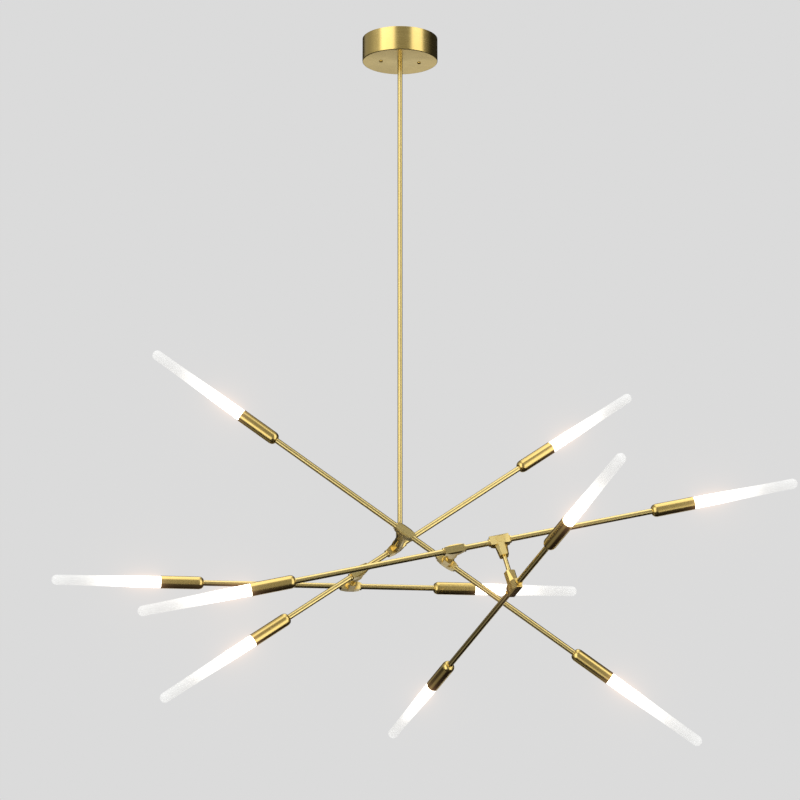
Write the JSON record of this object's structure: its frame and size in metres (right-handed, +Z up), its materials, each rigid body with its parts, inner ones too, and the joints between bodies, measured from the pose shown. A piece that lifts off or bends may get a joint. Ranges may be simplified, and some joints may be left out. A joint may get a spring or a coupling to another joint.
{
  "type": "multi arm chandelier",
  "caption": "Branching chandelier: a round canopy and thin stem carry straight swivelling arms at crossed angles, each ending in a cup with a lit frosted tube.",
  "frame": {"origin": "centre of the canopy on the ceiling plane; the fixture hangs below it", "axes": "+Z up, away from the floor, along the stem; -Y towards the front of the fixture; +X to the right seen from the front"},
  "size_m": [1.1864, 0.6958, 1.168],
  "materials": {
    "satin_brass": "satin, finely brushed and lacquered",
    "brass_screw": "satin machine screw",
    "dark_screw": "blackened steel set screw",
    "zinc_steel": "zinc plated",
    "terminal_plastic": "moulded nylon",
    "frosted_glass": "acid frosted",
    "ceramic": "unglazed white ceramic",
    "led_light": "warm white LED diffuser"
  },
  "bodies": {
    "fixed_stem": {"canopy_cover": "satin_brass", "ceiling_bracket": "zinc_steel", "canopy_screws": "brass_screw", "earth_screw": "brass_screw", "terminal_block": "terminal_plastic", "stem": "satin_brass", "stem_lock_nut": "zinc_steel", "stem_hub": "satin_brass", "swivel_link_stem": "satin_brass"},
    "arm_a": {"arm_tube_a": "satin_brass", "tee_fitting_a_to_stem": "satin_brass", "tee_fitting_a_to_c": "satin_brass", "swivel_link_a_to_c": "satin_brass", "set_screws_arm_a": "dark_screw", "lamp_cup_a_left": "satin_brass", "glass_tube_a_left": "frosted_glass", "lamp_cup_a_right": "satin_brass", "glass_tube_a_right": "frosted_glass", "lampholders_arm_a": "ceramic", "led_lamps_arm_a": "led_light"},
    "arm_b": {"arm_tube_b": "satin_brass", "tee_fitting_b_to_stem": "satin_brass", "tee_fitting_b_to_e": "satin_brass", "swivel_link_b_to_e": "satin_brass", "set_screws_arm_b": "dark_screw", "lamp_cup_b_right": "satin_brass", "glass_tube_b_right": "frosted_glass", "lamp_cup_b_left": "satin_brass", "glass_tube_b_left": "frosted_glass", "lampholders_arm_b": "ceramic", "led_lamps_arm_b": "led_light"},
    "arm_c": {"arm_tube_c": "satin_brass", "tee_fitting_c_to_a": "satin_brass", "tee_fitting_c_to_d": "satin_brass", "swivel_link_c_to_d": "satin_brass", "set_screws_arm_c": "dark_screw", "lamp_cup_c_right": "satin_brass", "glass_tube_c_right": "frosted_glass", "lamp_cup_c_left": "satin_brass", "glass_tube_c_left": "frosted_glass", "lampholders_arm_c": "ceramic", "led_lamps_arm_c": "led_light"},
    "arm_d": {"arm_tube_d": "satin_brass", "tee_fitting_d_to_c": "satin_brass", "set_screws_arm_d": "dark_screw", "lamp_cup_d_right": "satin_brass", "glass_tube_d_right": "frosted_glass", "lamp_cup_d_left": "satin_brass", "glass_tube_d_left": "frosted_glass", "lampholders_arm_d": "ceramic", "led_lamps_arm_d": "led_light"},
    "arm_e": {"arm_tube_e": "satin_brass", "tee_fitting_e_to_b": "satin_brass", "set_screws_arm_e": "dark_screw", "lamp_cup_e_left": "satin_brass", "glass_tube_e_left": "frosted_glass", "lamp_cup_e_right": "satin_brass", "glass_tube_e_right": "frosted_glass", "lampholders_arm_e": "ceramic", "led_lamps_arm_e": "led_light"}
  },
  "joints": [
    {"name": "swivel_a", "type": "hinge", "parent": "fixed_stem", "child": "arm_a", "pos_m": [0, 0, -0.842], "axis": [-0.1754, 0.9667, -0.1865], "range_deg": [-12, 12]},
    {"name": "swivel_b", "type": "hinge", "parent": "fixed_stem", "child": "arm_b", "pos_m": [0, 0, -0.842], "axis": [-0.1754, 0.9667, -0.1865], "range_deg": [-12, 12]},
    {"name": "swivel_c", "type": "hinge", "parent": "arm_a", "child": "arm_c", "pos_m": [0.07397, -0.03721, -0.88188], "axis": [0.1167, -0.9878, 0.1031], "range_deg": [-15, 10]},
    {"name": "swivel_d", "type": "hinge", "parent": "arm_c", "child": "arm_d", "pos_m": [0.15437, -0.10926, -0.85815], "axis": [0.2434, -0.351, -0.9042], "range_deg": [-20, 8]},
    {"name": "swivel_e", "type": "hinge", "parent": "arm_b", "child": "arm_e", "pos_m": [-0.06533, 0.02181, -0.89003], "axis": [-0.1881, 0.9676, -0.1686], "range_deg": [-30, 8]}
  ]
}
